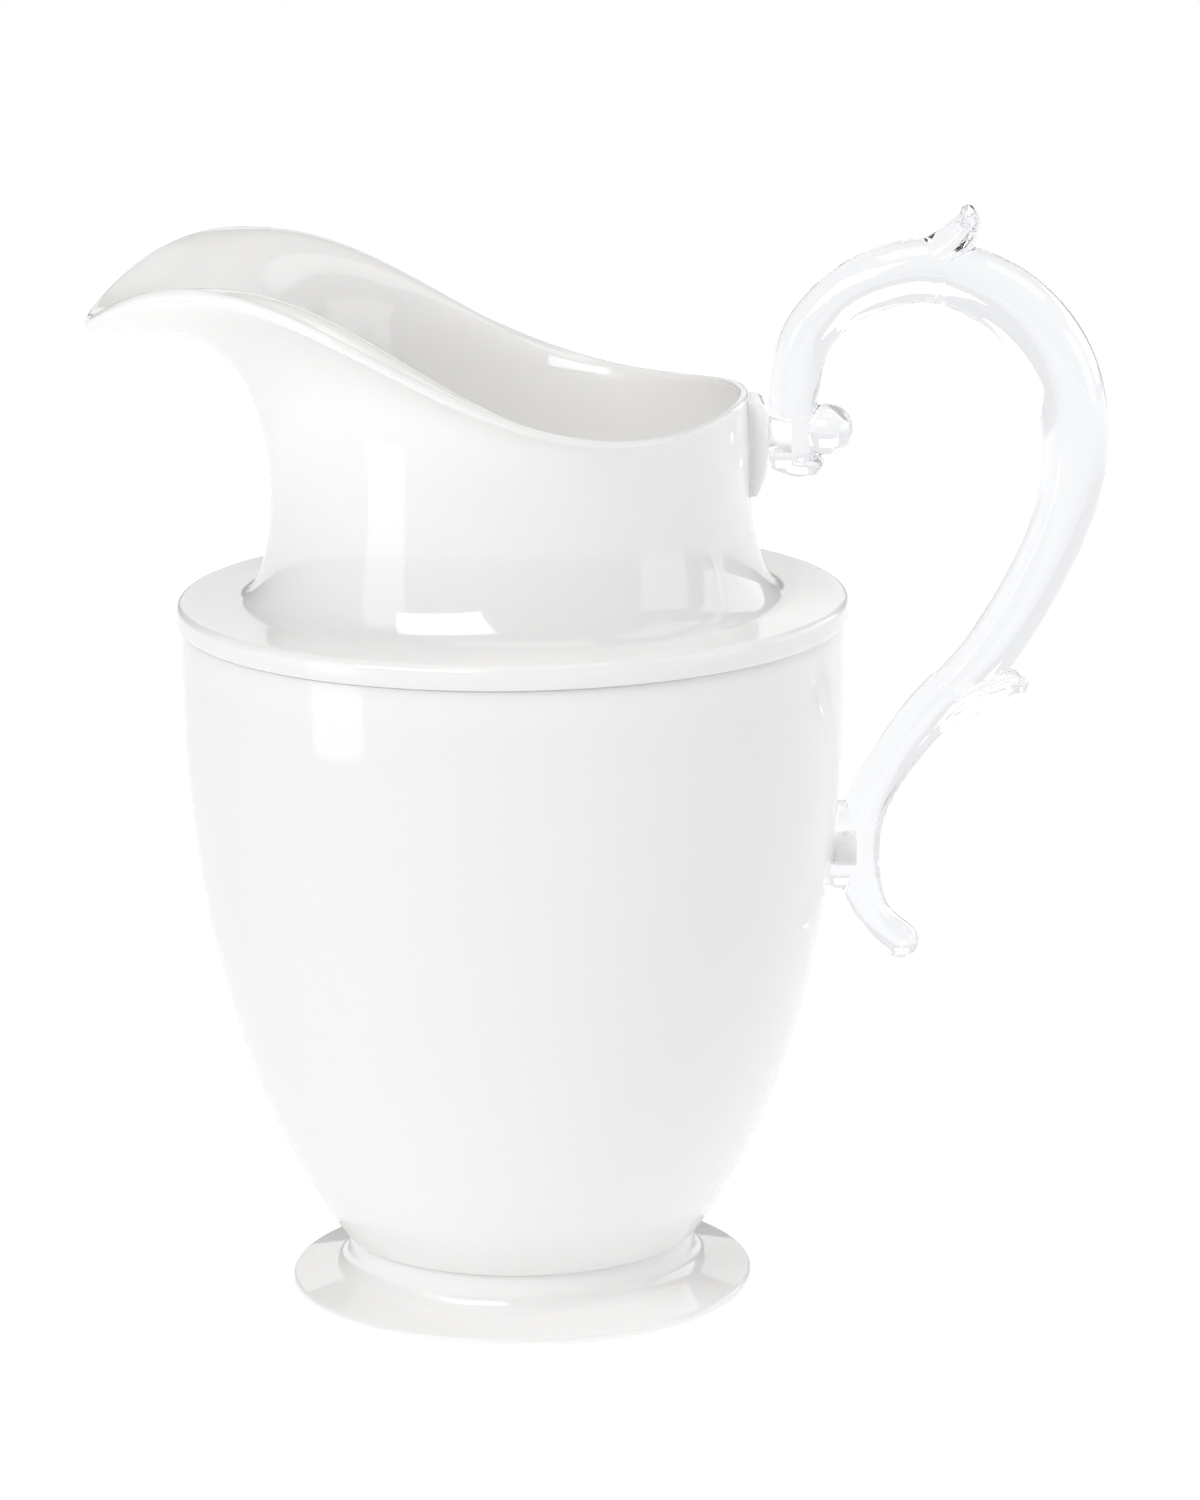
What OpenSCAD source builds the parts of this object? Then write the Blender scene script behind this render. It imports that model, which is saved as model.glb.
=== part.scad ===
// Footed white pitcher with a helmet spout and a clear scroll handle, bonded together.
// Millimetres. Origin at the centre of the foot's standing ring, +Z up.
// The spout points along -X and the handle along +X.

/* [Bowl] */
// Greatest radius of the bowl
bowl_r = 74; // [73:0.25:74.5]
// Height at which the bowl is widest
belly_z = 140; // [136:1:144]
// Depth of the oval that the bowl follows below its widest point
oval_depth = 152; // [150:1:156]
// Height of the bowl's flat underside
base_z = 12.7; // [12.6:0.1:13.2]
// Height of the bowl's top edge, at the seam
seam_z = 153.6; // [152:0.2:155]
// Wall thickness of the white pieces
wall = 2.4; // [2:0.1:2.8]
// Thickness of the bowl's floor
floor_t = 3; // [2.5:0.25:4]
// Height of the locating tongue above the seam
tongue_h = 2.6; // [1.5:0.1:2.8]
// Radial thickness of the locating tongue
tongue_t = 2.2; // [1.5:0.1:2.4]

/* [Foot] */
// Radius of the standing ring
foot_r = 52.4; // [50:0.2:55]
// Radius of the spool between foot and bowl
spool_r = 39.6; // [38:0.2:40]
// Radius of the fillet between spool and flange
spool_fillet = 4.2; // [3:0.2:5]
// Height of the flange at its rim
flange_h = 1.8; // [1.5:0.1:2.5]
// Rise of the flange per millimetre towards the spool
flange_slope = 0.24; // [0.15:0.01:0.3]
// Width of the flat standing ring
ring_w = 2.2; // [1.5:0.1:3]

/* [Shoulder and neck] */
// Radius of the shoulder band
shoulder_r = 75; // [74.5:0.25:76]
// Height of the flat shoulder
shoulder_z = 159.2; // [158.6:0.2:160.4]
// Radius of the shoulder's rounded edge
shoulder_edge = 1.7; // [1:0.1:2]
// Outer radius of the neck at its waist
neck_r = 53.4; // [52:0.2:55]
// Height of the waist
waist_z = 184; // [182:1:187]
// Radius at which the neck's fillet meets the flat shoulder
neck_foot_r = 62; // [60:0.5:64]

/* [Rim and spout] */
// Middle of the oval rim along X
rim_x = -20; // [-22:0.5:-18]
// Half length of the oval rim
rim_half_l = 71.8; // [70:0.2:74]
// Half width of the oval rim
rim_half_w = 59.7; // [58:0.2:62]
// How much narrower the spout half of the oval is than the handle half
rim_egg = 0.05; // [0:0.01:0.1]
// Mean height of the rim
rim_z = 216.2; // [214:0.2:220]
// Rise of the rim towards the spout, half of the whole
rim_tilt = 16; // [14:0.5:18]
// Fall of the rim at both ends
rim_saddle = 2.5; // [1:0.1:4]
// Curl that drops the spout's tip and lifts the handle end
rim_curl = 7.1; // [6:0.1:8]
// Fine ripple of the rim that sharpens the curl
rim_ripple = 1.1; // [0.5:0.1:1.5]
// Lip radius at the handle end
lip_r = 1.15; // [1.1:0.05:1.4]
// Extra lip radius at the spout's tip
spout_lip_extra = 0.75; // [0.2:0.05:1]

/* [Handle joints] */
// Distance of the upper pad's face from the axis
pad_x = 57; // [56.6:0.1:57.2]
// Half width of the upper pad
pad_half_w = 7; // [5.5:0.5:7.5]
// Height of the pad's lower edge
pad_low_z = 182; // [181:0.5:185]
// Height of the pad's upper edge
pad_top_z = 203; // [201:0.5:203.5]
// Height of the upper peg
upper_peg_z = 194.6; // [194:0.2:195.4]
// Radius of the upper peg
upper_peg_r = 3.6; // [3:0.1:4]
// Height of the lower peg
lower_peg_z = 100.2; // [99:0.2:101]
// Radius of the lower peg
lower_peg_r = 3.8; // [3:0.1:4]
// How far both pegs reach into the handle
peg_reach = 5; // [3.5:0.25:5.5]
// Thickness of every bond line
bond_t = 0.25; // [0.2:0.05:0.3]

/* [Handle] */
// Radius of the ball in the scroll
ball_r = 5.7; // [5:0.1:6]
// Radius of the upper lug
upper_lug_r = 5; // [4.6:0.1:5.4]
// Radius of the lower lug
lower_lug_r = 4.6; // [4.4:0.1:5]

/* [Hidden] */
white = [0.96, 0.955, 0.95];
clear = [0.86, 0.9, 0.94, 0.45];
glue = [0.7, 0.7, 0.72];
around = 64;               // facets round the neck
joint_z = seam_z + bond_t; // underside of the shoulder piece
skirt_r = bowl_r - wall + bond_t; // inner radius of the shoulder's skirt

// Centreline of the handle from the upper lug to the tail: [x, z, tube radius]
SCROLL = [[63, 191, 4.6], [62.8, 203, 5.4], [66.4, 217.4, 5.8], [77.6, 227.4, 6.3], [94, 230.8, 6.9],
          [111.4, 223.2, 7.8], [122.8, 207.5, 7.9], [125.2, 188, 7.1], [119.8, 168.3, 6.3],
          [106.9, 145.5, 6], [91.5, 129.4, 5], [79.5, 111.2, 4.9], [77.3, 97, 4.7],
          [80.2, 84.8, 4.2], [86.7, 78.2, 4.1]];
BALL = [70.3, 195.7];
// Leaves and curl: [x, z, half thickness, half width]
THUMB_LEAF = [[80, 228.5, 5.6, 5.6], [91, 233.6, 4.4, 5.6], [98.2, 237.6, 3.6, 5], [101.4, 241.2, 2.6, 3.8],
              [101.3, 244.2, 1.5, 1.8]];
LOWER_LEAF = [[92, 127, 4.4, 4.6], [99.4, 132.4, 3.6, 5], [106.6, 136.2, 3, 4.6], [111.4, 137.6, 2.3, 3.4],
              [114, 137.6, 1.5, 1.8]];
CURL = [[63, 190.5, 4.4, 4.4], [65.5, 188.8, 3.4, 3.6], [68.6, 187.6, 2.4, 2.8], [70.8, 189.2, 1.8, 2]];

// Radius of the oval at a height, for a given greatest radius and depth
function oval_r(z, r, depth) = z > belly_z ? r : r * sqrt(1 - pow((belly_z - z) / depth, 2));

// Outer wall of the bowl, grown outwards by g, as a profile closed on the axis
module bowl_profile(g) {
    bottom = base_z - g;
    steps = 32;
    polygon(concat(
        [[0, bottom]],
        [for (i = [0:steps])
            let (z = bottom + (belly_z - bottom) * (1 - cos(90 * i / steps)))
            [oval_r(z, bowl_r + g, oval_depth), z]],
        [[bowl_r + g, seam_z], [0, seam_z]]));
}

// Cylinder along +X from x0 to x1 at height z
module peg(x0, x1, z, r) {
    translate([x0, 0, z]) rotate([0, 90, 0]) cylinder(r = r, h = x1 - x0, $fn = 48);
}

// Hollow pedestal: closed top plate, spool, filleted flange and standing ring
module foot() {
    top = base_z - bond_t;
    plate = 2.4;
    run = foot_r - spool_r - spool_fillet;
    lean = atan(flange_slope);
    centre_z = flange_h + flange_slope * run + spool_fillet / cos(lean);
    color(white) rotate_extrude($fn = 96) polygon(concat(
        [[0, top], [spool_r, top]],
        [for (i = [0:8])
            let (a = 180 + (90 - lean) * i / 8)
            [spool_r + spool_fillet + spool_fillet * cos(a), centre_z + spool_fillet * sin(a)]],
        [for (i = [1:4])
            let (a = 90 - 90 * i / 4)
            [foot_r - 0.9 + 0.9 * cos(a), flange_h - 0.7 + 0.9 * sin(a)]],
        [[foot_r, 0.3], [foot_r - 0.3, 0], [foot_r - 0.3 - ring_w, 0],
         [spool_r + 1.4, 2.4], [spool_r - plate, 5], [spool_r - plate, top - plate], [0, top - plate]]));
}

// Body of the pitcher with its floor, locating tongue and the peg for the handle
module bowl() {
    color(white) difference() {
        union() {
            rotate_extrude($fn = 96) bowl_profile(0);
            rotate_extrude($fn = 96) translate([bowl_r - wall - tongue_t, seam_z - 4])
                square([tongue_t, 4 + tongue_h]);
            peg(bowl_r - wall - 3, oval_r(lower_peg_z, bowl_r, oval_depth) + peg_reach, lower_peg_z, lower_peg_r);
        }
        rotate_extrude($fn = 96) bowl_bore();
    }
}

// Inside of the bowl, from the floor up through the tongue
module bowl_bore() {
    bottom = base_z + floor_t;
    steps = 28;
    inner_r = bowl_r - wall;
    polygon(concat(
        [[0, bottom]],
        [for (i = [0:steps])
            let (z = bottom + (belly_z - bottom) * (1 - cos(90 * i / steps)))
            [oval_r(z, inner_r, oval_depth - wall), z]],
        [[inner_r, seam_z - 8], [inner_r - tongue_t, seam_z - 4], [inner_r - tongue_t, seam_z + 10],
         [0, seam_z + 10]]));
}

// Film between the foot's top plate and the bowl
module foot_bond() {
    color(glue) translate([0, 0, base_z - bond_t]) cylinder(r = spool_r - 1.2, h = bond_t, $fn = 96);
}

// Ring that seals the seam between the bowl's edge and the shoulder
module shoulder_bond() {
    color(glue) translate([0, 0, seam_z]) difference() {
        cylinder(r = bowl_r - 0.5, h = bond_t, $fn = 96);
        translate([0, 0, -1]) cylinder(r = bowl_r - wall, h = bond_t + 2, $fn = 96);
    }
}

// Rim: position of the lip's centre at angle t, counted from the spout
function rim_at(t) = [
    rim_x - rim_half_l * cos(t),
    rim_half_w * sin(t) * (1 - rim_egg * cos(t)),
    rim_z + rim_tilt * cos(t) - rim_saddle * cos(2 * t) - rim_curl * cos(3 * t) - rim_ripple * cos(4 * t)];
function lip_at(t) = lip_r + spout_lip_extra * pow((1 + cos(t)) / 2, 4);

// Middle of the neck wall between waist and rim: angle t round the neck, a from 0 at the waist to 90 at the rim
function flare(t, a) =
    let (sharp = 1 - 0.5 * cos(t),
         mid = neck_r - wall / 2,
         rim = rim_at(t),
         f = 1 - pow(cos(a), sharp))
    [-mid * cos(t) * (1 - f) + rim[0] * f, mid * sin(t) * (1 - f) + rim[1] * f,
     waist_z + (rim[2] - waist_z) * sin(a)];

// Point on the wall's surface: b is 0 on the outer face, 180 on the inner face, and in between round the lip
function skin(t, a, b) =
    let (m = min(a, 86),
         d = flare(t, m + 2) - flare(t, max(m - 2, 0)),
         s = d[1] * sin(t) - d[0] * cos(t),
         half = wall / 2 + (lip_at(t) - wall / 2) * pow(sin(a), 6),
         reach = half * (d[2] * cos(b) + s * sin(b)) / norm([s, d[2]]),
         climb = half * (d[2] * sin(b) - s * cos(b)) / norm([s, d[2]]))
    flare(t, a) + [-reach * cos(t), reach * sin(t), climb];
function neck_ring(a, b) = [for (i = [0:around - 1]) skin(360 * i / around, a, b)];
function round_ring(r, z) = [for (i = [0:around - 1])
    let (t = 360 * i / around)
    [-r * cos(t), r * sin(t), z]];

// Shell of shoulder and neck as closed rings of points: up the outside, over the lip and down the inside
module neck_shell() {
    rise = waist_z - shoulder_z;
    reach = neck_foot_r - neck_r;
    edge = shoulder_edge;
    outer_low = concat(
        [[shoulder_r - 0.5, joint_z], [shoulder_r, joint_z + 0.8]],
        [for (a = [0:30:90]) [shoulder_r - edge + edge * cos(a), shoulder_z - edge + edge * sin(a)]],
        [for (a = [90:-10:10]) [neck_foot_r - reach * cos(a), waist_z - rise * sin(a)]]);
    inner_low = concat(
        [for (a = [10:16:90]) [neck_foot_r - (reach + wall) * cos(a), waist_z - (rise + wall) * sin(a)]],
        [[skirt_r, shoulder_z - wall], [skirt_r, joint_z]]);
    rings = concat(
        [for (p = outer_low) round_ring(p[0], p[1])],
        [for (a = [0:9:90]) neck_ring(a, 0)],
        [for (b = [36:36:144]) neck_ring(90, b)],
        [for (a = [90:-9:0]) neck_ring(a, 180)],
        [for (p = inner_low) round_ring(p[0], p[1])]);
    count = len(rings);
    polyhedron(
        points = [for (ring = rings) for (p = ring) p],
        faces = [for (j = [0:count - 1]) for (i = [0:around - 1])
            let (k = (j + 1) % count, n = (i + 1) % around,
                 p = j * around + i, q = j * around + n,
                 r = k * around + n, s = k * around + i)
            each [[p, q, r], [p, r, s]]],
        convexity = 6);
}

// Raised pad under the rim that carries the upper peg, rounded off at its lower end
module pad() {
    slices = 8;
    for (i = [0:slices - 1]) hull() {
        pad_slice(i / slices);
        pad_slice((i + 1) / slices);
    }
    peg(pad_x - 1, pad_x + peg_reach, upper_peg_z, upper_peg_r);
}
module pad_slice(u) {
    corner = 1.4;
    low = 1 - cos(90 * min(u * 3, 1));
    depth = neck_r + (pad_x - neck_r) * (0.45 + 0.55 * sqrt(1 - pow(1 - low, 2)));
    translate([0, 0, pad_low_z + (pad_top_z - pad_low_z) * u]) for (y = [-1, 1]) {
        translate([depth - corner, y * (pad_half_w - corner), 0]) cylinder(r = corner, h = 0.05, $fn = 16);
        translate([neck_r - 1.1, y * (pad_half_w - corner), 0]) cylinder(r = 0.6, h = 0.05, $fn = 16);
    }
}

// Upper body: shoulder, waist, helmet spout and pad
module neck() {
    color(white) union() {
        neck_shell();
        pad();
    }
}

// Smooth curve through a list of points: value at u between points k and k + 1
function along(list, k, u) =
    let (last = len(list) - 1,
         a = list[max(k - 1, 0)], b = list[k], c = list[min(k + 1, last)], d = list[min(k + 2, last)])
    (2 * b + (c - a) * u + (2 * a - 5 * b + 4 * c - d) * u * u + (3 * b - a - 3 * c + d) * u * u * u) / 2;
function curve(list, steps) = concat(
    [for (k = [0:len(list) - 2]) for (i = [0:steps - 1]) along(list, k, i / steps)],
    [list[len(list) - 1]]);

// Oval limb along a curve of [x, z, half thickness, half width], with a rounded nose at each end
function frames(path) = [for (i = [0:len(path) - 1])
    let (d = path[min(i + 1, len(path) - 1)] - path[max(i - 1, 0)],
         m = norm([d[0], d[1]]))
    [path[i][0], path[i][1], path[i][2], path[i][3], d[0] / m, d[1] / m]];
function nose(f, side) = [for (b = side > 0 ? [30:25:80] : [80:-25:30])
    [f[0] + side * f[4] * f[2] * sin(b), f[1] + side * f[5] * f[2] * sin(b),
     f[2] * cos(b), f[3] * cos(b), f[4], f[5]]];
module limb(path, facets) {
    body = frames(path);
    all = concat(nose(body[0], -1), body, nose(body[len(body) - 1], 1));
    last = len(all) - 1;
    polyhedron(
        points = [for (f = all) for (i = [0:facets - 1])
            let (a = 360 * i / facets)
            [f[0] + f[5] * f[2] * cos(a), f[3] * sin(a), f[1] - f[4] * f[2] * cos(a)]],
        faces = concat(
            [[for (i = [0:facets - 1]) i], [for (i = [facets - 1:-1:0]) last * facets + i]],
            [for (j = [0:last - 1]) for (i = [0:facets - 1])
                let (n = (i + 1) % facets, p = j * facets)
                each [[p + i, p + facets + n, p + n], [p + i, p + facets + i, p + facets + n]]]),
        convexity = 8);
}

// Curl that swells and turns in under the ball
module curl(path) {
    for (i = [0:len(path) - 2]) hull() {
        curl_bead(path[i]);
        curl_bead(path[i + 1]);
    }
}
module curl_bead(p) {
    translate([p[0], 0, p[1]]) scale([p[2], p[3], p[2]]) sphere(r = 1, $fn = 18);
}

// Lug: an upright oval block from x0 to x1 between heights z0 and z1
module lug(x0, x1, z0, z1, r) {
    hull() for (z = [z0 + r, z1 - r]) peg(x0, x1, z, r);
}

// Clear S-scroll handle with ball, curl, two leaves and a socketed lug at each end
module handle() {
    face_x = pad_x + bond_t;
    lower_face_x = oval_r(lower_peg_z, bowl_r, oval_depth);
    color(clear) difference() {
        union() {
            limb([for (p = curve(SCROLL, 4)) [p[0], p[1], p[2], p[2]]], 26);
            translate([BALL[0], 0, BALL[1]]) sphere(r = ball_r, $fn = 28);
            limb(curve(THUMB_LEAF, 3), 20);
            limb(curve(LOWER_LEAF, 3), 20);
            curl(curve(CURL, 2));
            lug(face_x, 63, 185.6, 200.6, upper_lug_r);
            lug(lower_face_x - 3, 77, 91, 110.4, lower_lug_r);
        }
        peg(face_x - 5, pad_x + peg_reach + bond_t, upper_peg_z, upper_peg_r + bond_t);
        peg(40, lower_face_x + peg_reach + bond_t, lower_peg_z, lower_peg_r + bond_t);
        rotate_extrude($fn = 128) bowl_profile(bond_t);
        translate([face_x - 20, -20, 180]) cube([20, 40, 20]);
    }
}

// Film round the upper peg and between the pad and the lug
module upper_handle_bond() {
    color(glue) difference() {
        union() {
            peg(pad_x, pad_x + bond_t, upper_peg_z, upper_lug_r - 0.6);
            peg(pad_x, pad_x + peg_reach + bond_t, upper_peg_z, upper_peg_r + bond_t);
        }
        peg(pad_x - 1, pad_x + peg_reach, upper_peg_z, upper_peg_r);
    }
}

// Film round the lower peg
module lower_handle_bond() {
    tip_x = oval_r(lower_peg_z, bowl_r, oval_depth) + peg_reach;
    color(glue) difference() {
        peg(bowl_r - wall - 1, tip_x + bond_t, lower_peg_z, lower_peg_r + bond_t);
        peg(bowl_r - wall - 3, tip_x, lower_peg_z, lower_peg_r);
        rotate_extrude($fn = 96) bowl_profile(0);
    }
}

foot();
bowl();
foot_bond();
neck();
shoulder_bond();
handle();
upper_handle_bond();
lower_handle_bond();
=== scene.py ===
# Footed white pitcher with a helmet spout and a clear scroll handle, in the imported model's frame, in metres.
import math

import bpy
import bmesh
from mathutils import Matrix, Vector


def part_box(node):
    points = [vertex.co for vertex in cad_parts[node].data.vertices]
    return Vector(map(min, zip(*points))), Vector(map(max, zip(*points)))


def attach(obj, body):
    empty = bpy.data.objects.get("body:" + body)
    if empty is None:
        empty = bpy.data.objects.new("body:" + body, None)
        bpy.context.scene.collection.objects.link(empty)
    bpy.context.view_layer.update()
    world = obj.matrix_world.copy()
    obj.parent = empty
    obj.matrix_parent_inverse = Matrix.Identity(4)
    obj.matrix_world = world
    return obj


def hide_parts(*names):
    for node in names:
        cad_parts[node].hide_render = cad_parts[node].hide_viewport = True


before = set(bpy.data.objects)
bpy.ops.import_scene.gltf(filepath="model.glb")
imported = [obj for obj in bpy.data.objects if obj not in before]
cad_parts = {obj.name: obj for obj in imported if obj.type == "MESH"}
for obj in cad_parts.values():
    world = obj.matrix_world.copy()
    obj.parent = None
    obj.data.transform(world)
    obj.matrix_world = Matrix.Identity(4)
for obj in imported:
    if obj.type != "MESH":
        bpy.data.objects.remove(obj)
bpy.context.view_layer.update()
MM = 0.001

# ---------------------------------------------------------------- sizes, from the frame where it has them
FOOT_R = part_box("foot")[1].y
FOOT_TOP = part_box("foot")[1].z
BASE_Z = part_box("bowl")[0].z
BOWL_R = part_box("bowl")[1].y
SEAM_Z, SKIRT_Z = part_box("shoulder_bond")[0].z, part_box("shoulder_bond")[1].z
SHOULDER_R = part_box("neck")[1].y
PAD_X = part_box("upper_handle_bond")[0].x
PEG_END_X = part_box("upper_handle_bond")[1].x
LUG_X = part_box("handle")[0].x
UPPER_PEG_Z = (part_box("upper_handle_bond")[0].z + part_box("upper_handle_bond")[1].z) / 2
LOWER_PEG_Z = (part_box("lower_handle_bond")[0].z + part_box("lower_handle_bond")[1].z) / 2
LOWER_PEG_END_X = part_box("lower_handle_bond")[1].x
BOND = SKIRT_Z - SEAM_Z

# Shapes that the frame holds only as surfaces, with the same values as part.scad
WALL = 2.4 * MM
BELLY_Z = 140 * MM
OVAL_DEPTH = 152 * MM
FLOOR_Z = BASE_Z + 3 * MM
TONGUE_T = 2.2 * MM
TONGUE_H = 2.6 * MM
SPOOL_R = 39.6 * MM
SPOOL_FILLET = 4.2 * MM
FLANGE_H = 1.8 * MM
FLANGE_SLOPE = 0.24
SHOULDER_Z = 159.2 * MM
SHOULDER_EDGE = 1.7 * MM
NECK_R = 53.4 * MM
WAIST_Z = 184 * MM
NECK_FOOT_R = 62 * MM
RIM_X = -20 * MM
RIM_HALF_L = 71.8 * MM
RIM_HALF_W = 59.7 * MM
RIM_EGG = 0.05
RIM_WAVE = (216.2 * MM, 16 * MM, -2.5 * MM, -7.1 * MM, -1.1 * MM)
LIP_R = 1.15 * MM
SPOUT_LIP_EXTRA = 0.75 * MM
PAD_LOW_Z = 182 * MM
PAD_TOP_Z = 203 * MM
PAD_HALF_W = 7 * MM
UPPER_PEG_R = 3.6 * MM
LOWER_PEG_R = 3.8 * MM
UPPER_BORE_R = 3.85 * MM
LOWER_BORE_R = 4.05 * MM

# Finish and mesh density, which belong to the visual model alone
PAD_FILLET = 1.4 * MM
PAD_TOP_ROUND = 2.8 * MM
RING_INSET = 2.5 * MM    # from the flange's edge to the inside of the standing ring
NEAR_AXIS = 0.0005 * MM  # radius of a ring that closes a turned shape at its axis
AROUND = 192             # points in each ring of the vessel
PEG_AROUND = 64
NECK_STEPS = 48

# Centreline of the handle from the upper lug to the tail: x, z, tube radius
SCROLL = [(63, 191, 4.6), (62.8, 203, 5.4), (66.4, 217.4, 5.8), (77.6, 227.4, 6.3), (94, 230.8, 6.9),
          (111.4, 223.2, 7.8), (122.8, 207.5, 7.9), (125.2, 188, 7.1), (119.8, 168.3, 6.3),
          (106.9, 145.5, 6), (91.5, 129.4, 5), (79.5, 111.2, 4.9), (77.3, 97, 4.7),
          (80.2, 84.8, 4.2), (86.7, 78.2, 4.1)]
BALL = (70.3, 195.7, 5.7)
SHEATH_START = 0.4       # how far under the tube's surface, in millimetres, a sheath begins
VOXEL = 0.33 * MM        # cell of the remesh that blends the handle's parts into one surface
# Leaves and curl: x, z, half thickness, half width
THUMB_LEAF = [(84, 229.5, 4.6, 5.4), (90.5, 232, 4.7, 6.2), (96.3, 235.4, 4.6, 6), (99.6, 238.8, 3.9, 5),
              (101.2, 241.8, 2.9, 3.8), (101.3, 244, 1.6, 2.4)]
LOWER_LEAF = [(92.5, 129, 3.9, 4.4), (99.4, 132, 3.6, 5), (105.8, 135.6, 3.1, 4.8), (110.4, 137.3, 3, 4.2),
              (113.2, 137.1, 2.1, 2.8)]
CURL = [(61, 189.8, 3.9, 4.6), (64, 188, 3.1, 4), (66.6, 187.4, 2.2, 3), (68.2, 188.4, 1.4, 2)]
UPPER_LUG = [(60.4, 190.2, 4, 5), (60.4, 193, 4, 5), (60.4, 196.4, 4, 5)]
LOWER_LUG = [(73, 94.8, 4.4, 4.6), (73, 100, 4.4, 4.6), (73, 106.4, 4.4, 4.6)]
# Rolled edges of the leaves, on the near side: x, y, z, radius
THUMB_ROLL = [(88, -5.9, 231.6, 0.6), (93.5, -5.8, 233.2, 0.9), (98.6, -5.2, 235.6, 1), (102, -4.3, 239, 1),
              (103.1, -3, 242, 0.9), (102.2, -1.4, 244.3, 0.7)]
LOWER_ROLL = [(97, -4.6, 133.2, 0.6), (101.5, -4.7, 136, 0.9), (106, -4.5, 138, 1),
              (110.5, -3.6, 139.4, 0.9), (113.4, -2, 138.9, 0.7)]


# ---------------------------------------------------------------- mesh helpers
def new_object(name, verts, faces):
    mesh = bpy.data.meshes.new(name)
    mesh.from_pydata([tuple(v) for v in verts], [], faces)
    mesh.validate()
    bm = bmesh.new()
    bm.from_mesh(mesh)
    bmesh.ops.remove_doubles(bm, verts=bm.verts, dist=1e-7)
    bmesh.ops.recalc_face_normals(bm, faces=bm.faces)
    bm.to_mesh(mesh)
    bm.free()
    for polygon in mesh.polygons:
        polygon.use_smooth = True
    obj = bpy.data.objects.new(name, mesh)
    bpy.context.scene.collection.objects.link(obj)
    return obj


def loop_faces(count, around, closed):
    """Quads between rings of points; closed joins the last ring to the first."""
    faces = []
    for j in range(count if closed else count - 1):
        k = (j + 1) % count
        for i in range(around):
            n = (i + 1) % around
            faces.append((j * around + i, j * around + n, k * around + n, k * around + i))
    return faces


def shell_of_rings(name, rings, closed=True, caps=False):
    around = len(rings[0])
    verts = [p for ring in rings for p in ring]
    faces = loop_faces(len(rings), around, closed)
    if caps:
        last = (len(rings) - 1) * around
        faces.append(tuple(reversed(range(around))))
        faces.append(tuple(last + i for i in range(around)))
    return new_object(name, verts, faces)


def round_ring(r, z):
    angles = [2 * math.pi * i / AROUND for i in range(AROUND)]
    return [(-r * math.cos(t), r * math.sin(t), z) for t in angles]


def arc(cx, cz, r, start, end, steps):
    """Points of an arc, angles in degrees."""
    out = []
    for i in range(steps + 1):
        a = math.radians(start + (end - start) * i / steps)
        out.append((cx + r * math.cos(a), cz + r * math.sin(a)))
    return out


def soften(obj, angle=35):
    """Smooth shading, with hard edges only where faces meet at more than angle."""
    for polygon in obj.data.polygons:
        polygon.use_smooth = True
    obj.data.set_sharp_from_angle(angle=math.radians(angle))


def place(obj, node):
    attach(obj, "root")
    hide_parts(node)
    return obj


# ---------------------------------------------------------------- bowl and foot
def oval_r(z, r, depth):
    return r if z > BELLY_Z else r * math.sqrt(1 - ((BELLY_Z - z) / depth) ** 2)


def oval_wall(r, depth, bottom, top, steps):
    points = []
    for i in range(steps + 1):
        z = bottom + (BELLY_Z - bottom) * (1 - math.cos(math.pi / 2 * i / steps))
        points.append((oval_r(z, r, depth), z))
    for i in range(1, 7):
        points.append((r, BELLY_Z + (top - BELLY_Z) * i / 6))
    return points


def make_bowl():
    inner_r = BOWL_R - WALL
    edge = 0.25 * MM
    outer = [(NEAR_AXIS, BASE_Z), (SPOOL_R - 4 * MM, BASE_Z), (SPOOL_R, BASE_Z)]
    outer += oval_wall(BOWL_R, OVAL_DEPTH, BASE_Z, SEAM_Z - edge, 72)
    outer += arc(BOWL_R - edge, SEAM_Z - edge, edge, 30, 90, 3)
    outer += [(inner_r, SEAM_Z), (inner_r, SEAM_Z + TONGUE_H), (inner_r - TONGUE_T, SEAM_Z + TONGUE_H)]
    fillet, fillet_h = 9 * MM, 5.4 * MM
    inner = oval_wall(inner_r, OVAL_DEPTH - WALL, FLOOR_Z + fillet_h, SEAM_Z - 8 * MM, 60)
    inner = list(reversed(inner + [(inner_r - TONGUE_T, SEAM_Z - 4 * MM)]))
    foot_of_wall = inner[-1][0]
    for i in range(1, 9):
        a = math.radians(90 * i / 8)
        inner.append((foot_of_wall - fillet * (1 - math.cos(a)), FLOOR_Z + fillet_h * (1 - math.sin(a))))
    inner.append((NEAR_AXIS, FLOOR_Z))
    rings = [round_ring(r, z) for r, z in outer + inner]
    bowl = shell_of_rings("white_bowl", rings, closed=True)
    soften(bowl)
    return place(bowl, "bowl")


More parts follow.
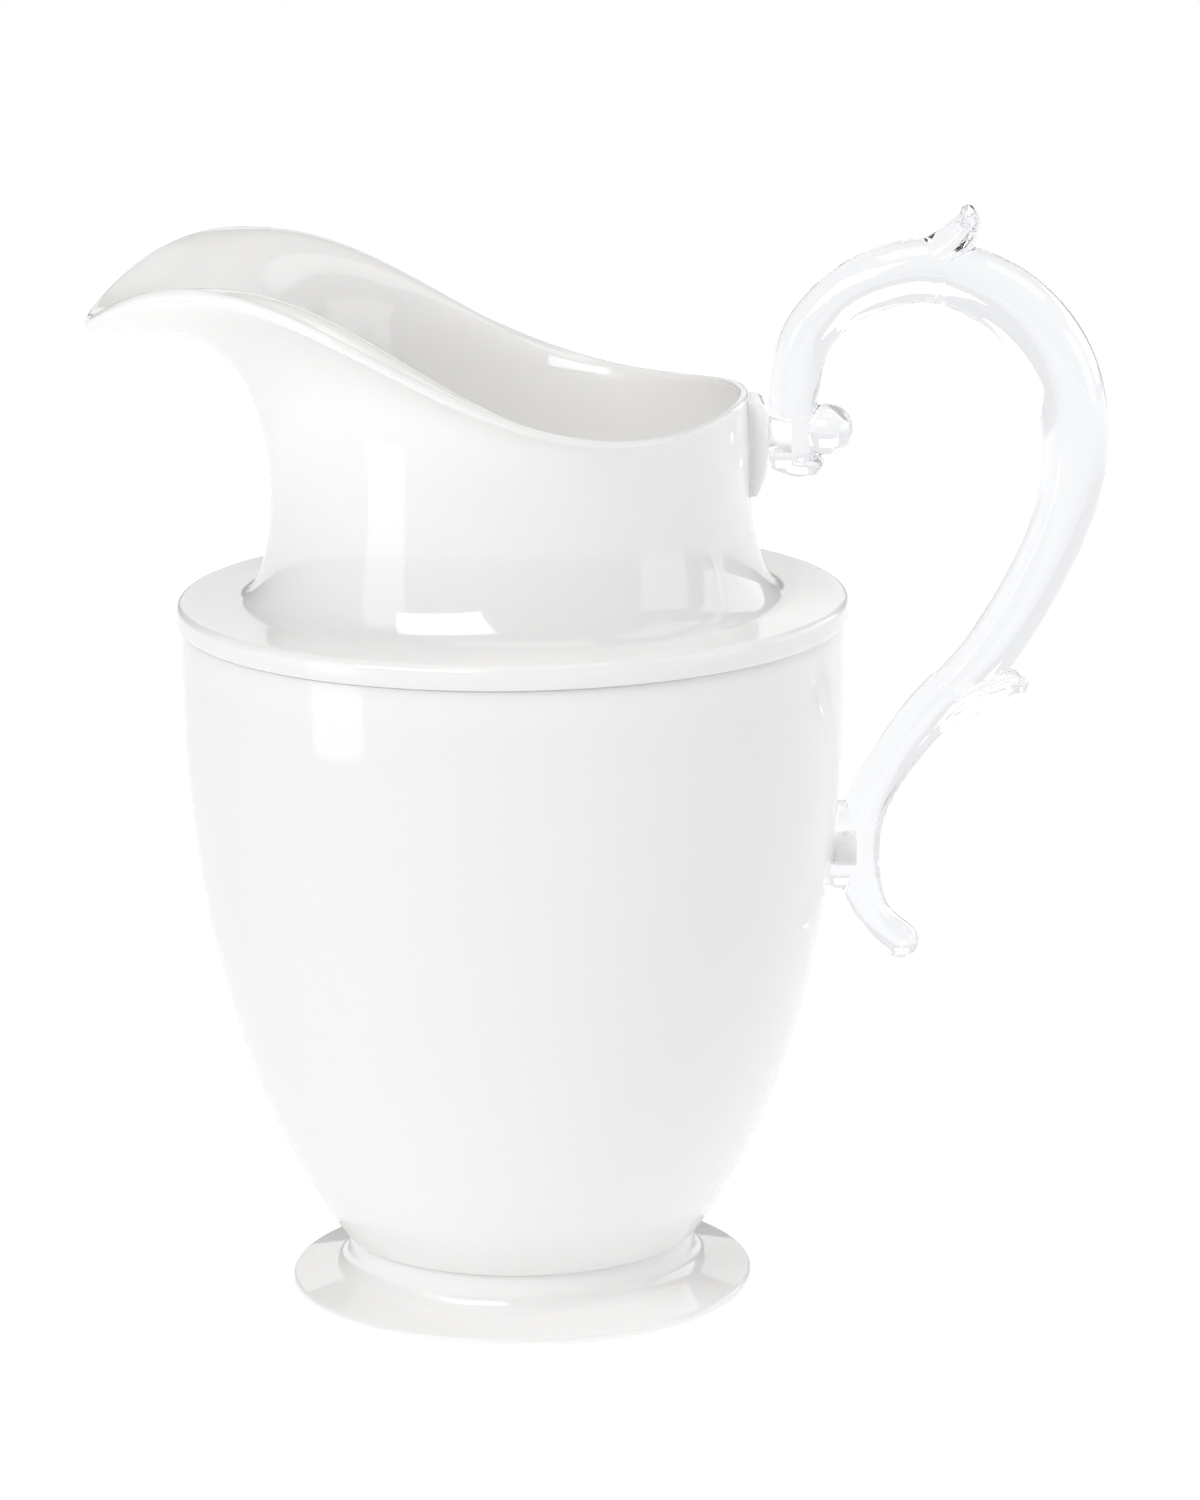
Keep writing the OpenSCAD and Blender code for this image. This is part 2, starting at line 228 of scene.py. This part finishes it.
def make_foot():
    lean = math.degrees(math.atan(FLANGE_SLOPE))
    run = FOOT_R - SPOOL_R - SPOOL_FILLET
    fillet_z = FLANGE_H + FLANGE_SLOPE * run + SPOOL_FILLET / math.cos(math.radians(lean))
    edge, nick, wall = 0.9 * MM, 0.15 * MM, 2.4 * MM
    outline = [(NEAR_AXIS, FOOT_TOP), (SPOOL_R - 2 * MM, FOOT_TOP), (SPOOL_R - nick, FOOT_TOP),
               (SPOOL_R, FOOT_TOP - nick)]
    outline += arc(SPOOL_R + SPOOL_FILLET, fillet_z, SPOOL_FILLET, 180, 270 - lean, 24)
    outline += arc(FOOT_R - edge, FLANGE_H - 0.7 * MM, edge, 80, 0, 10)
    outline += [(FOOT_R, 0.4 * MM), (FOOT_R - 0.12 * MM, 0.1 * MM), (FOOT_R - 0.4 * MM, 0)]
    outline += [(FOOT_R - RING_INSET, 0), (SPOOL_R + 1.4 * MM, 2.4 * MM)]
    outline += [(SPOOL_R - 1.2 * MM, 3.4 * MM), (SPOOL_R - wall, 5 * MM), (SPOOL_R - wall, 9.4 * MM)]
    outline += [(SPOOL_R - 3 * MM, FOOT_TOP - wall), (NEAR_AXIS, FOOT_TOP - wall)]
    foot = shell_of_rings("white_foot", [round_ring(r, z) for r, z in outline], closed=True)
    soften(foot)
    return place(foot, "foot")


# ---------------------------------------------------------------- shoulder, neck, spout
def rim_at(t):
    """Centre of the lip at angle t, counted from the spout."""
    x = RIM_X - RIM_HALF_L * math.cos(t)
    y = RIM_HALF_W * math.sin(t) * (1 - RIM_EGG * math.cos(t))
    z = sum(c * math.cos(k * t) for k, c in enumerate(RIM_WAVE))
    return Vector((x, y, z))


def lip_at(t):
    return LIP_R + SPOUT_LIP_EXTRA * ((1 + math.cos(t)) / 2) ** 4


def flare(t, a):
    """Middle of the neck wall: a runs from 0 at the waist to a quarter turn at the rim."""
    sharp = 1 - 0.5 * math.cos(t)
    mid = NECK_R - WALL / 2
    rim = rim_at(t)
    f = 1 - math.cos(a) ** sharp if a < math.pi / 2 - 1e-6 else 1
    return Vector((-mid * math.cos(t) * (1 - f) + rim.x * f, mid * math.sin(t) * (1 - f) + rim.y * f,
                   WAIST_Z + (rim.z - WAIST_Z) * math.sin(a)))


def skin(t, a, b):
    """Point on the neck wall: b is 0 on the outer face and half a turn on the inner face."""
    m = min(a, math.radians(86))
    d = flare(t, m + math.radians(2)) - flare(t, max(m - math.radians(2), 0))
    s = d.y * math.sin(t) - d.x * math.cos(t)
    half = WALL / 2 + (lip_at(t) - WALL / 2) * math.sin(a) ** 6
    size = math.hypot(s, d.z)
    reach = half * (d.z * math.cos(b) + s * math.sin(b)) / size
    climb = half * (d.z * math.sin(b) - s * math.cos(b)) / size
    return flare(t, a) + Vector((-reach * math.cos(t), reach * math.sin(t), climb))


def neck_ring(a, b):
    return [skin(2 * math.pi * i / AROUND, math.radians(a), math.radians(b)) for i in range(AROUND)]


def shoulder_outside():
    """Radius and height from the seam over the shoulder's edge to the waist."""
    rise = WAIST_Z - SHOULDER_Z
    reach = NECK_FOOT_R - NECK_R
    edge = SHOULDER_EDGE
    low = [(SHOULDER_R - 0.6 * MM, SKIRT_Z), (SHOULDER_R - 0.4 * MM, SKIRT_Z + 0.1 * MM),
           (SHOULDER_R - 0.15 * MM, SKIRT_Z + 0.6 * MM), (SHOULDER_R, SKIRT_Z + 1.4 * MM)]
    low += arc(SHOULDER_R - edge, SHOULDER_Z - edge, edge, 0, 90, 10)
    low += [(SHOULDER_R - edge - 1 * MM, SHOULDER_Z), (NECK_FOOT_R + 3 * MM, SHOULDER_Z)]
    for i in range(25):
        a = math.radians(90 - 3.6 * i)
        low.append((NECK_FOOT_R - reach * math.cos(a), WAIST_Z - rise * math.sin(a)))
    return low


def shoulder_inside():
    """Radius and height from the waist down to the skirt's underside."""
    rise = WAIST_Z - SHOULDER_Z
    reach = NECK_FOOT_R - NECK_R
    skirt_r = BOWL_R - WALL + BOND
    inside = []
    for i in range(25):
        a = math.radians(3.6 * (i + 1))
        inside.append((NECK_FOOT_R - (reach + WALL) * math.cos(a), WAIST_Z - (rise + WALL) * math.sin(a)))
    return inside + [(skirt_r, SHOULDER_Z - WALL), (skirt_r, SKIRT_Z)]


def make_neck():
    rings = [round_ring(r, z) for r, z in shoulder_outside()]
    rings += [neck_ring(90 * i / NECK_STEPS, 0) for i in range(1, NECK_STEPS + 1)]
    rings += [neck_ring(90, 15 * i) for i in range(1, 12)]
    rings += [neck_ring(90 - 90 * i / NECK_STEPS, 180) for i in range(0, NECK_STEPS)]
    rings += [round_ring(r, z) for r, z in shoulder_inside()]
    neck = shell_of_rings("white_neck", rings, closed=True)
    soften(neck)
    return place(neck, "neck")


def pad_slice(depth, half_w, corner, z, steps=6):
    """Outline of one slice of the pad: a fillet out of the neck wall, round the outer face and back."""
    fillet = PAD_FILLET
    root = NECK_R - 0.6 * MM
    half = []
    for i in range(steps + 1):
        a = math.radians(90 * i / steps)
        half.append((root + fillet * (1 - math.cos(a)), half_w + fillet * (1 - math.sin(a))))
    out = max(depth, root + fillet + 0.1 * MM)
    bend = min(corner, (out - root - fillet) * 0.95)
    for i in range(steps + 1):
        a = math.radians(90 * i / steps)
        half.append((out - bend + bend * math.sin(a), half_w - bend + bend * math.cos(a)))
    inner = root - 1.4 * MM
    near = [(inner, -half_w - fillet, z)] + [(x, -y, z) for x, y in half]
    far = [(x, y, z) for x, y in reversed(half)] + [(inner, half_w + fillet, z)]
    return near + far


def make_pad():
    slices = []
    top_round = PAD_TOP_ROUND
    flank = 0.86
    levels = [i / 24 * flank for i in range(25)]
    levels += [flank + 0.14 * math.sin(math.pi / 2 * i / 10) for i in range(1, 11)]
    for u in levels:
        z = PAD_LOW_Z + (PAD_TOP_Z - PAD_LOW_Z) * u
        low = 1 - math.cos(math.radians(90 * min(u * 3, 1)))
        depth = NECK_R + (PAD_X - NECK_R) * (0.3 + 0.7 * math.sqrt(1 - (1 - low) ** 2))
        over = max(0, (z - PAD_TOP_Z + top_round) / top_round)
        depth -= top_round * (1 - math.sqrt(max(0, 1 - over ** 2)))
        slices.append(pad_slice(depth, PAD_HALF_W, 1.5 * MM, z))
    pad = shell_of_rings("white_pad", slices, closed=False, caps=True)
    soften(pad, 50)
    return place(pad, "neck")


def make_peg(name, x0, x1, z, r, node):
    """White peg along X with a rounded end."""
    edge = 0.5 * MM
    outline = [(2 * NEAR_AXIS, x0), (r, x0)]
    outline += arc(r - edge, x1 - edge, edge, 0, 90, 6)
    outline.append((2 * NEAR_AXIS, x1))
    turns = [2 * math.pi * i / PEG_AROUND for i in range(PEG_AROUND)]
    rings = []
    for radius, x in outline:
        rings.append([(x, radius * math.cos(a), z + radius * math.sin(a)) for a in turns])
    peg = shell_of_rings(name, rings, closed=False, caps=True)
    soften(peg)
    return place(peg, node)


# ---------------------------------------------------------------- handle
def along(points, k, u):
    last = len(points) - 1
    a, b = points[max(k - 1, 0)], points[k]
    c, d = points[min(k + 1, last)], points[min(k + 2, last)]
    return tuple((2 * b[i] + (c[i] - a[i]) * u + (2 * a[i] - 5 * b[i] + 4 * c[i] - d[i]) * u * u
                  + (3 * b[i] - a[i] - 3 * c[i] + d[i]) * u ** 3) / 2 for i in range(len(b)))


def curve(points, steps):
    path = [along(points, k, i / steps) for k in range(len(points) - 1) for i in range(steps)]
    return path + [points[-1]]


def limb(name, path, around=48, noses=True):
    """Closed oval tube along x, z, half thickness, half width, with rounded or flat ends."""
    frames = []
    for i, p in enumerate(path):
        before, after = path[max(i - 1, 0)], path[min(i + 1, len(path) - 1)]
        d = Vector((after[0] - before[0], after[1] - before[1])).normalized()
        frames.append((p[0], p[1], p[2], p[3], d.x, d.y))
    if noses:
        frames = list(reversed(nose(frames[0], -1))) + frames + nose(frames[-1], 1)
    rings = []
    for x, z, thick, wide, dx, dz in frames:
        ring = []
        for i in range(around):
            a = 2 * math.pi * i / around
            out = thick * math.cos(a)
            ring.append(Vector((x + dz * out, wide * math.sin(a), z - dx * out)) * MM)
        rings.append(ring)
    return shell_of_rings(name, rings, closed=False, caps=True)


def nose(f, side):
    """Shrinking slices that round off the end of a limb."""
    slices = []
    for b in range(10, 90, 10):
        a = math.radians(b)
        slices.append((f[0] + side * f[4] * f[2] * math.sin(a), f[1] + side * f[5] * f[2] * math.sin(a),
                       f[2] * math.cos(a), f[3] * math.cos(a), f[4], f[5]))
    return slices


def bead(name, points, around=20):
    """Round tube through x, y, z, radius, with tapered ends."""
    path = curve(points, 8)
    rings = []
    for i, p in enumerate(path):
        centre = Vector(p[:3])
        ahead = (Vector(path[min(i + 1, len(path) - 1)][:3]) - Vector(path[max(i - 1, 0)][:3])).normalized()
        side = ahead.cross(Vector((0, 1, 0))).normalized()
        up = side.cross(ahead)
        end = min(i, len(path) - 1 - i) / 4
        r = p[3] * math.sqrt(min(1, max(end, 0.02)))
        rings.append([(centre + (side * math.cos(a) + up * math.sin(a)) * r) * MM
                      for a in [2 * math.pi * k / around for k in range(around)]])
    return shell_of_rings(name, rings, closed=False, caps=True)


def ball(name, x, z, r):
    bm = bmesh.new()
    bmesh.ops.create_icosphere(bm, subdivisions=5, radius=r * MM)
    bmesh.ops.translate(bm, verts=bm.verts, vec=Vector((x, 0, z)) * MM)
    mesh = bpy.data.meshes.new(name)
    bm.to_mesh(mesh)
    bm.free()
    obj = bpy.data.objects.new(name, mesh)
    bpy.context.scene.collection.objects.link(obj)
    return obj


def x_rod(name, x0, x1, z, r):
    turns = [2 * math.pi * i / PEG_AROUND for i in range(PEG_AROUND)]
    rings = [[(x, r * math.cos(a), z + r * math.sin(a)) for a in turns] for x in (x0, x1)]
    return shell_of_rings(name, rings, closed=False, caps=True)


def cut_away(target, cutters):
    for cutter in cutters:
        cut = target.modifiers.new("cut", "BOOLEAN")
        cut.operation = "DIFFERENCE"
        cut.solver = "EXACT"
        cut.object = cutter
        apply_modifiers(target)
        bpy.data.objects.remove(cutter)


def apply_modifiers(obj):
    graph = bpy.context.evaluated_depsgraph_get()
    mesh = bpy.data.meshes.new_from_object(obj.evaluated_get(graph))
    obj.modifiers.clear()
    old = obj.data
    obj.data = mesh
    bpy.data.meshes.remove(old)


def sheath(name, path, first, last, extra):
    """Flat-ended sleeve a little thicker than the tube, which comes out of it slowly from its first end."""
    part = path[first:last]
    sleeve = []
    for i, (x, z, thick, wide) in enumerate(part):
        grown = min(1, i / (len(part) * 0.6))
        swell = extra * grown - SHEATH_START * (1 - grown)
        sleeve.append((x, z, thick + swell, wide + swell))
    return limb(name, sleeve, 64, noses=False)


def join_meshes(objects):
    """Put several meshes in the first object."""
    bm = bmesh.new()
    for obj in objects:
        bm.from_mesh(obj.data)
    bm.to_mesh(objects[0].data)
    bm.free()
    for obj in objects[1:]:
        bpy.data.objects.remove(obj)
    return objects[0]


def mirror_y(points):
    return [(x, -y, z, r) for x, y, z, r in points]


def handle_parts():
    """The tube, its sheaths, leaves, curl, ball, lugs and rolled edges, as overlapping closed meshes."""
    scroll = [(x, z, r, r) for x, z, r in curve(SCROLL, 12)]
    upper = [i for i, p in enumerate(scroll) if p[0] > 95.5][0]
    lower = [i for i, p in enumerate(scroll) if p[1] < 136.5][0]
    low_end = [i for i, p in enumerate(scroll) if p[1] < 112][0]
    return [
        limb("clear_handle", scroll, 64),
        sheath("upper_sheath", scroll, 22, upper, 0.35),
        sheath("lower_sheath", list(reversed(scroll)), len(scroll) - low_end, len(scroll) - lower, 0.45),
        limb("thumb", curve(THUMB_LEAF, 10)),
        limb("leaf", curve(LOWER_LEAF, 10)),
        limb("curl", curve(CURL, 8)),
        ball("ball", *BALL),
        limb("upper_lug", UPPER_LUG),
        limb("lower_lug", LOWER_LUG),
        bead("thumb_roll", THUMB_ROLL),
        bead("thumb_roll_far", mirror_y(THUMB_ROLL)),
        bead("lower_roll", LOWER_ROLL),
        bead("lower_roll_far", mirror_y(LOWER_ROLL)),
    ]


def blend_parts(handle):
    """One smooth surface in place of the overlapping parts."""
    blend = handle.modifiers.new("blend", "REMESH")
    blend.mode = "VOXEL"
    blend.voxel_size = VOXEL
    polish = handle.modifiers.new("polish", "SMOOTH")
    polish.factor = 0.5
    polish.iterations = 7
    apply_modifiers(handle)


def handle_cutters():
    """What the handle leaves room for: both pegs with their bond, the bowl and the pad."""
    bottom = 60 * MM
    outline = [(2 * NEAR_AXIS, bottom)] + oval_wall(BOWL_R + BOND, OVAL_DEPTH, bottom, SEAM_Z, 60)
    outline.append((2 * NEAR_AXIS, SEAM_Z))
    bowl_tool = shell_of_rings("bowl_tool", [round_ring(r, z) for r, z in outline])
    corners = [(-20 * MM, 180 * MM), (20 * MM, 180 * MM), (20 * MM, 206 * MM), (-20 * MM, 206 * MM)]
    slab = [[(x, y, z) for y, z in corners] for x in (LUG_X - 10 * MM, LUG_X)]
    pad_tool = shell_of_rings("pad_tool", slab, closed=False, caps=True)
    return [
        x_rod("bore", 50 * MM, PEG_END_X, UPPER_PEG_Z, UPPER_BORE_R),
        x_rod("lower_bore", 60 * MM, LOWER_PEG_END_X, LOWER_PEG_Z, LOWER_BORE_R),
        bowl_tool,
        pad_tool,
    ]


def make_handle():
    handle = join_meshes(handle_parts())
    blend_parts(handle)
    cut_away(handle, handle_cutters())
    soften(handle, 40)
    handle.visible_shadow = False
    return place(handle, "handle")


# ---------------------------------------------------------------- materials
ACRYLIC_IOR = 1.49


def grey(level):
    return level, level, level, 1


def principled(name):
    material = bpy.data.materials.new(name)
    material.use_nodes = True
    nodes = material.node_tree.nodes
    return material, nodes, material.node_tree.links, nodes["Principled BSDF"]


def noise(nodes, links, scale, detail):
    where = nodes.new("ShaderNodeTexCoord")
    texture = nodes.new("ShaderNodeTexNoise")
    texture.inputs["Scale"].default_value = scale
    texture.inputs["Detail"].default_value = detail
    links.new(where.outputs["Object"], texture.inputs["Vector"])
    return texture


def ramp(nodes, links, source, low, high):
    """Colour from low to high over the middle of a noise's range."""
    node = nodes.new("ShaderNodeValToRGB")
    node.color_ramp.elements[0].position = 0.3
    node.color_ramp.elements[0].color = low
    node.color_ramp.elements[1].position = 0.7
    node.color_ramp.elements[1].color = high
    links.new(source, node.inputs["Fac"])
    return node


def white_plastic():
    material, nodes, links, shader = principled("white_plastic")
    tone = noise(nodes, links, 9, 3)
    tint = ramp(nodes, links, tone.outputs["Fac"], (0.955, 0.939, 0.92, 1), (0.966, 0.952, 0.935, 1))
    links.new(tint.outputs["Color"], shader.inputs["Base Color"])
    haze = noise(nodes, links, 60, 4)
    rough = ramp(nodes, links, haze.outputs["Fac"], grey(0.03), grey(0.07))
    links.new(rough.outputs["Color"], shader.inputs["Roughness"])
    shader.inputs["IOR"].default_value = ACRYLIC_IOR
    shader.inputs["Subsurface Weight"].default_value = 0.5
    shader.inputs["Subsurface Radius"].default_value = (1, 0.9, 0.8)
    shader.inputs["Subsurface Scale"].default_value = 0.006
    ripple = noise(nodes, links, 220, 2)
    bump = nodes.new("ShaderNodeBump")
    bump.inputs["Strength"].default_value = 0.04
    bump.inputs["Distance"].default_value = 0.0002
    links.new(ripple.outputs["Fac"], bump.inputs["Height"])
    links.new(bump.outputs["Normal"], shader.inputs["Normal"])
    return material


def clear_plastic():
    material, nodes, links, shader = principled("clear_plastic")
    shader.inputs["Base Color"].default_value = (0.885, 0.897, 0.915, 1)
    shader.inputs["Transmission Weight"].default_value = 1
    shader.inputs["IOR"].default_value = ACRYLIC_IOR
    haze = noise(nodes, links, 80, 3)
    rough = ramp(nodes, links, haze.outputs["Fac"], grey(0), grey(0.02))
    links.new(rough.outputs["Color"], shader.inputs["Roughness"])
    return material


def bond_film(name, dark, light, glow):
    """Cured adhesive; glow stands in for the light that the clear lugs let through to it."""
    material, nodes, links, shader = principled(name)
    tone = noise(nodes, links, 400, 3)
    tint = ramp(nodes, links, tone.outputs["Fac"], dark, light)
    links.new(tint.outputs["Color"], shader.inputs["Base Color"])
    shader.inputs["Roughness"].default_value = 0.4
    shader.inputs["Emission Color"].default_value = (1, 1, 1, 1)
    shader.inputs["Emission Strength"].default_value = glow
    return material


def paint(obj, material):
    obj.data.materials.clear()
    obj.data.materials.append(material)


# ---------------------------------------------------------------- studio
def make_floor():
    """Pale floor that gives off most of its own light, like the table of a light tent."""
    bm = bmesh.new()
    bmesh.ops.create_grid(bm, x_segments=8, y_segments=8, size=6)
    mesh = bpy.data.meshes.new("floor")
    bm.to_mesh(mesh)
    bm.free()
    floor = bpy.data.objects.new("floor", mesh)
    bpy.context.scene.collection.objects.link(floor)
    material, nodes, links, shader = principled("white_table")
    grain = noise(nodes, links, 3, 2)
    tint = ramp(nodes, links, grain.outputs["Fac"], grey(0.26), grey(0.28))
    links.new(tint.outputs["Color"], shader.inputs["Base Color"])
    shader.inputs["Roughness"].default_value = 0.7
    shader.inputs["Specular IOR Level"].default_value = 0.2
    shader.inputs["Emission Color"].default_value = (1, 1, 1, 1)
    shader.inputs["Emission Strength"].default_value = 0.875
    paint(floor, material)


# Softboxes: name, azimuth and elevation in degrees, distance, width, height, watts, colour
SOFTBOXES = [
    ("key", -34, 38, 2.2, 1.5, 1.0, 26, (0.975, 0.989, 1)),
    ("top", 10, 85, 2.2, 1.4, 1.4, 10.5, (1, 0.95, 0.88)),
    ("right_rear", 122, 16, 2.4, 2.0, 1.0, 11, (0.97, 0.98, 1)),
    ("right_low", 75, 12, 2.2, 1.0, 1.0, 4.6, (0.97, 0.98, 1)),
    ("right_high", 90, 50, 2.2, 1.0, 1.0, 4.5, (0.97, 0.98, 1)),
    ("left_rear", -150, 45, 2.2, 1.0, 1.0, 1.2, (0.98, 0.99, 1)),
    ("rear", 180, 15, 5.5, 3.2, 1.8, 14, (1, 1, 1)),
]


def softbox(name, azimuth, elevation, distance, width, height, power, color):
    """Rectangular light that faces the pitcher's middle; azimuth 0 is in front, and it grows towards +X."""
    a, e = math.radians(azimuth), math.radians(elevation)
    away = Vector((math.sin(a) * math.cos(e), -math.cos(a) * math.cos(e), math.sin(e)))
    data = bpy.data.lights.new(name, "AREA")
    data.shape = "RECTANGLE"
    data.size, data.size_y = width, height
    data.energy = power
    data.color = color
    light = bpy.data.objects.new(name, data)
    bpy.context.scene.collection.objects.link(light)
    light.location = Vector((0, 0, 0.12)) + away * distance
    light.rotation_mode = "QUATERNION"
    light.rotation_quaternion = (-away).to_track_quat("-Z", "Y")
    light.visible_camera = False
    return light


def make_world(ambient, gloss, surround):
    """Dim walls for soft light, brighter ones in the gloss, the brightest through the clear plastic."""
    world = bpy.data.worlds.new("studio")
    world.use_nodes = True
    nodes, links = world.node_tree.nodes, world.node_tree.links
    background = nodes["Background"]
    background.inputs["Color"].default_value = (1, 1, 1, 1)
    path = nodes.new("ShaderNodeLightPath")
    shine = nodes.new("ShaderNodeMapRange")
    shine.inputs["To Min"].default_value = ambient
    shine.inputs["To Max"].default_value = gloss
    links.new(path.outputs["Is Glossy Ray"], shine.inputs["Value"])
    level = nodes.new("ShaderNodeMapRange")
    level.inputs["To Max"].default_value = surround
    links.new(shine.outputs["Result"], level.inputs["To Min"])
    links.new(path.outputs["Is Transmission Ray"], level.inputs["Value"])
    links.new(level.outputs["Result"], background.inputs["Strength"])
    bpy.context.scene.world = world


def make_camera():
    distance, height, turn = 1.300, 0.4347, math.radians(1)
    pitch, yaw, roll = 0.2353, 0.0147, -0.0110
    data = bpy.data.cameras.new("camera")
    data.lens, data.sensor_width = 142.8, 36
    data.clip_start, data.clip_end = 0.05, 50
    camera = bpy.data.objects.new("camera", data)
    bpy.context.scene.collection.objects.link(camera)
    level = math.cos(pitch)
    ahead = Vector((math.sin(yaw) * level, math.cos(yaw) * level, -math.sin(pitch)))
    right = Vector((math.cos(yaw), -math.sin(yaw), 0))
    up = right.cross(ahead)
    side = right * math.cos(roll) + up * math.sin(roll)
    top = up * math.cos(roll) - right * math.sin(roll)
    facing = Matrix((side, top, -ahead)).transposed().to_4x4()
    stand = Matrix.Rotation(turn, 4, "Z") @ Matrix.Translation((0, -distance, height))
    camera.matrix_world = stand @ facing
    bpy.context.scene.camera = camera


def light_studio():
    make_world(ambient=0.14, gloss=0.26, surround=0.93)
    for row in SOFTBOXES:
        softbox(*row)
    strip = softbox("strip", -57, 14, 0.4, 0.14, 0.36, 0.26, (1, 1, 1))
    strip.visible_diffuse = False


def allow_bounces():
    """Enough bounces for light inside the white neck and the clear handle."""
    cycles = bpy.context.scene.cycles
    cycles.max_bounces = 20
    cycles.diffuse_bounces = 9
    cycles.glossy_bounces = 12
    cycles.transmission_bounces = 16


# ---------------------------------------------------------------- build
def build_pitcher():
    white = white_plastic()
    clear = clear_plastic()
    seam_film = bond_film("seam_film", (0.5, 0.49, 0.48, 1), (0.6, 0.59, 0.58, 1), 0)
    # The joint film glows at 0.15: painted light on the bond round the pegs inside the clear lugs, which the
    # bowl's shade leaves dark.
    joint_film = bond_film("joint_film", (0.88, 0.87, 0.86, 1), (0.93, 0.92, 0.91, 1), 0.15)
    upper_end, lower_end = PEG_END_X - BOND, LOWER_PEG_END_X - BOND
    white_pieces = [
        make_bowl(),
        make_foot(),
        make_neck(),
        make_pad(),
        make_peg("upper_peg", PAD_X - 2 * MM, upper_end, UPPER_PEG_Z, UPPER_PEG_R, "neck"),
        make_peg("lower_peg", 70 * MM, lower_end, LOWER_PEG_Z, LOWER_PEG_R, "bowl"),
    ]
    for piece in white_pieces:
        paint(piece, white)
    paint(make_handle(), clear)
    for node in ("foot_bond", "shoulder_bond"):
        paint(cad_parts[node], seam_film)
    for node in ("upper_handle_bond", "lower_handle_bond"):
        paint(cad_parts[node], joint_film)


make_camera()
build_pitcher()
make_floor()
light_studio()
allow_bounces()
bpy.context.scene.view_settings.view_transform = "Standard"
